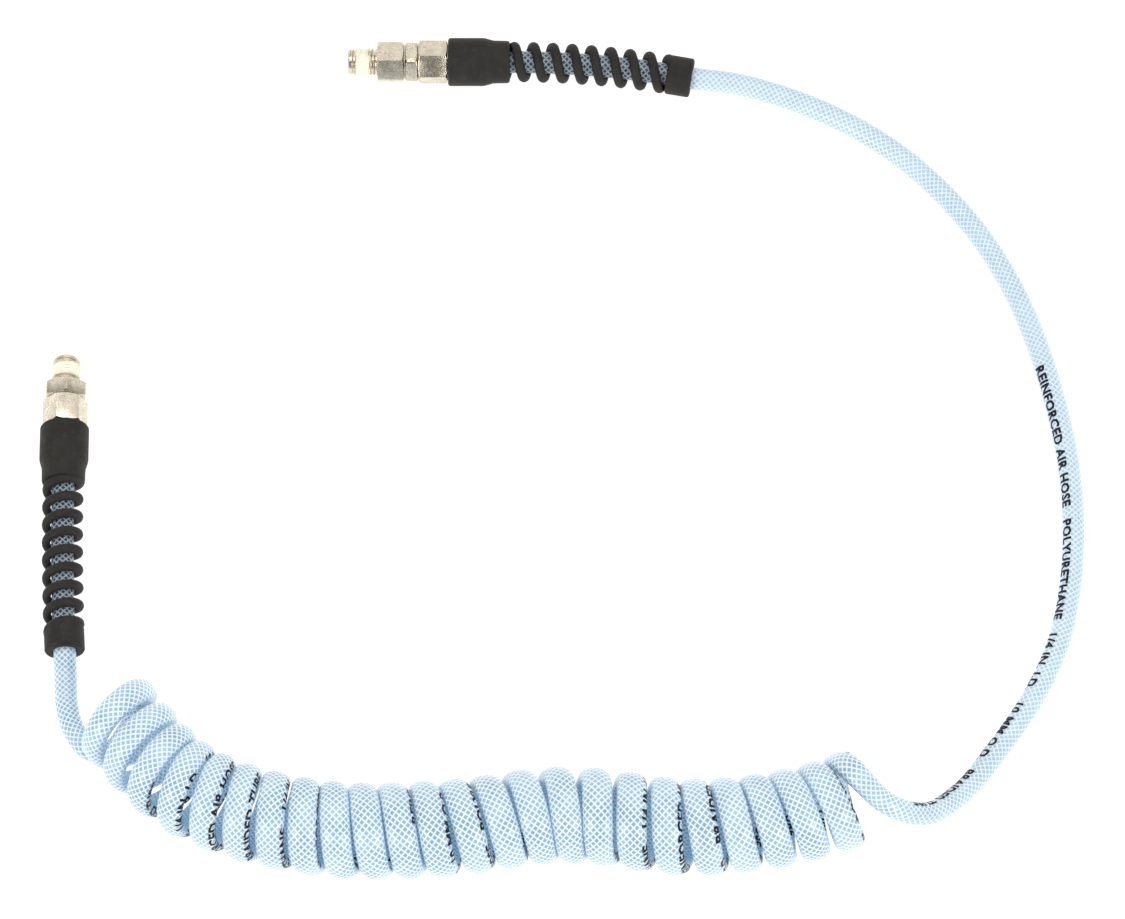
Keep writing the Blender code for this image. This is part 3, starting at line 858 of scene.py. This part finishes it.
stem_core = turned("stem_core", threaded_end(
    [(STEM_HEX_END - 0.0001, SPIGOT), (SPIGOT_END, SPIGOT)], STEM_HEX_END, [(SPIGOT_END, BORE), (0, BORE)]))
rounded(stem_core, EDGE_ROUND)
stem_hex = hexagon("stem_hexagon", THREAD_LENGTH, STEM_HEX_END, CORE_HEX_HOLE, STEM_HEX_TURN)
rounded(stem_hex, EDGE_ROUND)
stem_ridge = thread_ridge("stem_thread", 0.0002, THREAD_LENGTH - 0.0004, 0)
fitted("swivel_stem_turned", [stem_core, stem_hex, stem_ridge], SWIVEL, nickel_along_x, "stem",
       "nickel_plated_brass", "swivel_stem")
sealant_band("swivel_sealant_band", SWIVEL, "stem", "swivel_thread_sealant")

# ---------------------------------------------------------------------------------------------------------
# Swivel body and nut. The body holds the stem and ends in a barb that the hose is pushed over, and the nut
# squeezes the hose on to it through a ferrule. Both are nickel-plated brass with spanner hexagons.

BODY_HEX_START = 0.0261
BODY_CORE = 0.0076
BODY_HEX_HOLE = 0.0072
BODY_HEX_TURN = 0
SWIVEL_NUT_START = 0.0318
SWIVEL_NUT_TURN = 16
BODY_THREAD_END = 0.0090
BODY_THREAD = 0.0070
SOCKET = 0.0059
SOCKET_END = 0.0403
NUT_HEX_LENGTH = 0.0132
NUT_CAVITY_END = 0.0162
NUT_SKIRT_END = 0.0282
NUT_SKIRT = 0.0082
NUT_HOLE = 0.0056
BARB_BORE = 0.0023
BARB_ROOT = 0.0033
BARB_CREST = 0.0039
BARB_PITCH = 0.0040
BARB_RIDGES = 4


def body_tail(nut_start):
    """The body under its nut: the thread that the nut runs on, then the barb's saw-toothed ridges."""
    outline = [(nut_start - GAP, BODY_THREAD), (nut_start + BODY_THREAD_END, BODY_THREAD),
               (nut_start + BODY_THREAD_END, BARB_ROOT + 0.0006)]
    for ridge in range(BARB_RIDGES):
        foot = nut_start + NUT_SKIRT_END - (BARB_RIDGES - ridge) * BARB_PITCH
        outline += [(foot, BARB_ROOT), (foot, BARB_CREST), (foot + BARB_PITCH - 0.0002, BARB_ROOT)]
    return outline


def compression_nut(name, nut_start, turn, fitting, paint, node):
    """The nut: a hexagon with a turned collar before its skirt, which runs back under the guard."""
    hex_end = nut_start + NUT_HEX_LENGTH
    cavity_end = nut_start + NUT_CAVITY_END
    skirt_end = nut_start + NUT_SKIRT_END
    skirt = turned(name + "_skirt", [
        (nut_start, NUT_SKIRT - 0.0004), (hex_end, NUT_SKIRT - 0.0004), (hex_end, NUT_SKIRT),
        (skirt_end, NUT_SKIRT), (skirt_end, NUT_HOLE), (cavity_end, NUT_HOLE),
        (cavity_end, BODY_THREAD + GAP), (nut_start, BODY_THREAD + GAP)])
    rounded(skirt, EDGE_ROUND)
    flats = hexagon(name + "_flats", nut_start, hex_end, BODY_THREAD + 2 * GAP, turn)
    rounded(flats, EDGE_ROUND)
    return fitted(name, [skirt, flats], fitting, paint, "hose", "nickel_plated_brass", node)


body_head = [(BODY_HEX_START, BODY_CORE), (SWIVEL_NUT_START - GAP, BODY_CORE)]
body_bore = [(SWIVEL_NUT_START + NUT_SKIRT_END, BARB_BORE), (SOCKET_END, BARB_BORE),
             (SOCKET_END, SOCKET), (BODY_HEX_START, SOCKET)]
body_core = turned("body_core", body_head + body_tail(SWIVEL_NUT_START) + body_bore)
rounded(body_core, EDGE_ROUND)
body_hex = hexagon("body_hexagon", BODY_HEX_START, SWIVEL_NUT_START - GAP, BODY_HEX_HOLE, BODY_HEX_TURN)
rounded(body_hex, EDGE_ROUND)
fitted("swivel_body_turned", [body_core, body_hex], SWIVEL, nickel_along_x, "hose",
       "nickel_plated_brass", "swivel_body")
compression_nut("swivel_compression_nut", SWIVEL_NUT_START, SWIVEL_NUT_TURN, SWIVEL, nickel_along_x,
                "swivel_nut")

# ---------------------------------------------------------------------------------------------------------
# Rigid end. One nickel-plated brass body carries the pipe thread, the hexagon and the barb, and a nut like
# the swivel's clamps the hose.

FIXED_HEX_END = 0.0208
FIXED_HEX_TURN = 6
FIXED_NUT_START = 0.0211
FIXED_NUT_TURN = 40

fixed_bore = [(FIXED_NUT_START + NUT_SKIRT_END, BARB_BORE), (THREAD_LENGTH + 0.0014, BARB_BORE),
              (THREAD_LENGTH, BORE), (0, BORE)]
fixed_core = turned("rigid_core", threaded_end(body_tail(FIXED_NUT_START), FIXED_HEX_END, fixed_bore))
rounded(fixed_core, EDGE_ROUND)
fixed_hex = hexagon("rigid_hexagon", THREAD_LENGTH, FIXED_HEX_END, CORE_HEX_HOLE, FIXED_HEX_TURN)
rounded(fixed_hex, EDGE_ROUND)
fixed_ridge = thread_ridge("rigid_thread", 0.0002, THREAD_LENGTH - 0.0004, 0)
fixed_piece = fitted("rigid_end_turned", [fixed_core, fixed_hex, fixed_ridge], FIXED, nickel_along_y, "hose",
                     "nickel_plated_brass", "fixed_body")
fixed_band = sealant_band("rigid_sealant_band", FIXED, "hose", "fixed_thread_sealant")
fixed_nut = compression_nut("rigid_compression_nut", FIXED_NUT_START, FIXED_NUT_TURN, FIXED, nickel_along_y,
                            "fixed_nut")

# ---------------------------------------------------------------------------------------------------------
# Guards. Each is one black rubber moulding: a sleeve pushed over the nut's skirt, a right-handed helix that
# lets the hose bend gently, and a collar. They hold the hose off sharp bends at the fittings.

SLEEVE = 0.0109
SLEEVE_NECK = 0.0099
SLEEVE_CYLINDER = 0.0163
SLEEVE_BORE = 0.0085
GUARD_BORE = 0.0054
HELIX_PITCH = 0.00875
HELIX_OUT = 0.0019
HELIX_SIDE = 0.0022
HELIX_EMBED = 0.0030
HELIX_STEPS = 28
HELIX_SIDES = 16
SWIVEL_HELIX_START = -96
FIXED_HELIX_START = 82
SKIRT_IN_SLEEVE = 0.0130
COLLAR = 0.0089
RUBBER_BLACK = (0.010, 0.009, 0.007, 1)
RUBBER_DUST = (0.026, 0.022, 0.017, 1)


def rubber_paint():
    """Black moulded rubber: matt, slightly brown, with a fine grain, scuffs and dust."""
    paint, shader, place = new_paint("moulded_rubber")
    cloud = place.noise(130, 4)
    grain = place.noise(1800, 3)
    scuff = place.noise(420, 4).smooth_step(0.56, 0.72)
    dusty = cloud.smooth_step(0.3, 0.7) * 0.6 + scuff * 0.4
    connect(shader, base_color=dusty.mix(RUBBER_BLACK, RUBBER_DUST),
            roughness=0.62 - scuff * 0.12 + cloud * 0.1, normal=(grain + scuff * 0.4).bump(0.35, 0.00006))
    shader.inputs["Specular IOR Level"].default_value = 0.35
    return paint


def guard_helix(name, sleeve_end, bend, phase):
    """The helix, swept along the leaning axis with both of its ends sunk in the sleeve and the collar."""
    travel = HELIX_LENGTH + 2 * HELIX_EMBED
    steps = round(travel / HELIX_PITCH * HELIX_STEPS)
    centre = GUARD_BORE + HELIX_OUT
    line, outwards = [], []
    for step in range(steps + 1):
        angle = math.radians(phase) - 2 * math.pi * step / HELIX_STEPS
        outward = Vector((math.cos(angle), math.sin(angle), 0))
        line.append(guard_axis(travel * step / steps - HELIX_EMBED, sleeve_end, bend) + outward * centre)
        outwards.append(outward)
    rings = []
    for point, outward, way in zip(line, outwards, directions(line)):
        outward = (outward - way * outward.dot(way)).normalized()
        rings.append(oval_ring(point, (outward, HELIX_OUT, HELIX_SIDE), outward, way, HELIX_SIDES))
    return swept_tube(name, line, rings, run_lengths(line))


def strain_guard(name, fitting, sleeve_start, bend, phase, node):
    """The sleeve, the helix and the collar as one moulding."""
    shoulder = sleeve_start + SLEEVE_CYLINDER
    sleeve_end = sleeve_start + SLEEVE_LENGTH
    inner_step = sleeve_start + NUT_SKIRT_END - SKIRT_IN_SLEEVE
    sleeve = turned(name + "_sleeve", [
        (sleeve_start, SLEEVE - 0.0010), (sleeve_start + 0.0003, SLEEVE - 0.0004),
        (sleeve_start + 0.0009, SLEEVE), (shoulder - 0.0004, SLEEVE), (shoulder + 0.0008, SLEEVE - 0.0002),
        (shoulder + 0.0040, SLEEVE_NECK - 0.0001), (shoulder + 0.0055, SLEEVE_NECK - 0.0002),
        (sleeve_end - 0.0012, SLEEVE_NECK - 0.0003), (sleeve_end - 0.0004, SLEEVE_NECK - 0.0006),
        (sleeve_end, SLEEVE_NECK - 0.0013), (sleeve_end, GUARD_BORE + GAP),
        (inner_step, GUARD_BORE + GAP), (inner_step, SLEEVE_BORE), (sleeve_start, SLEEVE_BORE)])
    helix = guard_helix(name + "_helix", sleeve_end, bend, phase)
    collar = turned(name + "_collar", [
        (0, COLLAR - 0.0010), (0.0003, COLLAR - 0.0004), (0.0009, COLLAR),
        (COLLAR_LENGTH - 0.0009, COLLAR), (COLLAR_LENGTH - 0.0003, COLLAR - 0.0004),
        (COLLAR_LENGTH, COLLAR - 0.0010), (COLLAR_LENGTH, GUARD_BORE), (0, GUARD_BORE)])
    start = guard_axis(HELIX_LENGTH, sleeve_end, bend)
    end = guard_axis(BEND_LENGTH, sleeve_end, bend)
    lean = (start - end).to_track_quat('Z', 'Y').to_matrix().to_4x4()
    collar.matrix_world = Matrix.Translation(start) @ lean
    select_only(collar)
    bpy.ops.object.transform_apply(location=True, rotation=True, scale=True)
    return fitted(name, [sleeve, helix, collar], fitting, rubber, "hose", "guard_rubber", node)


rubber = rubber_paint()
strain_guard("swivel_strain_guard", SWIVEL, stations("swivel_guard", SWIVEL)[0], SWIVEL_BEND,
             SWIVEL_HELIX_START, "swivel_guard")
fixed_guard = strain_guard("rigid_strain_guard", FIXED, stations("fixed_guard", FIXED)[0], FIXED_BEND,
                           FIXED_HELIX_START, "fixed_guard")

# ---------------------------------------------------------------------------------------------------------
# Inside pieces. They keep their modelled shapes: the O-ring that seals the swivel, the snap ring and the
# thrust washer that hold it, the ferrules, and the ends of the hose under the nuts.

snap_steel, shader, place = new_paint("spring_steel")
grind = place.noise(1, 3, stretch=(4000, 200, 200))
connect(shader, base_color=place.noise(300, 3).mix((0.34, 0.34, 0.35, 1), (0.50, 0.50, 0.51, 1)),
        normal=grind.bump(0.3, 0.00003))
set_constants(shader, metallic=1.0, roughness=0.34)

washer_plastic, shader, place = new_paint("washer_plastic")
mottle = place.noise(700, 3)
connect(shader, base_color=mottle.mix((0.66, 0.64, 0.56, 1), (0.78, 0.76, 0.68, 1)),
        normal=mottle.bump(0.2, 0.00004))
set_constants(shader, roughness=0.5)

inside_paints = {
    "swivel_o_ring": rubber, "swivel_snap_ring": snap_steel, "swivel_thrust_washer": washer_plastic,
    "swivel_ferrule": nickel_along_x, "fixed_ferrule": nickel_along_y,
    "swivel_hose_end": tube_blue, "fixed_hose_end": tube_blue,
}
for node, paint in inside_paints.items():
    frame["nodes"][node].data.materials.clear()
    frame["nodes"][node].data.materials.append(paint)
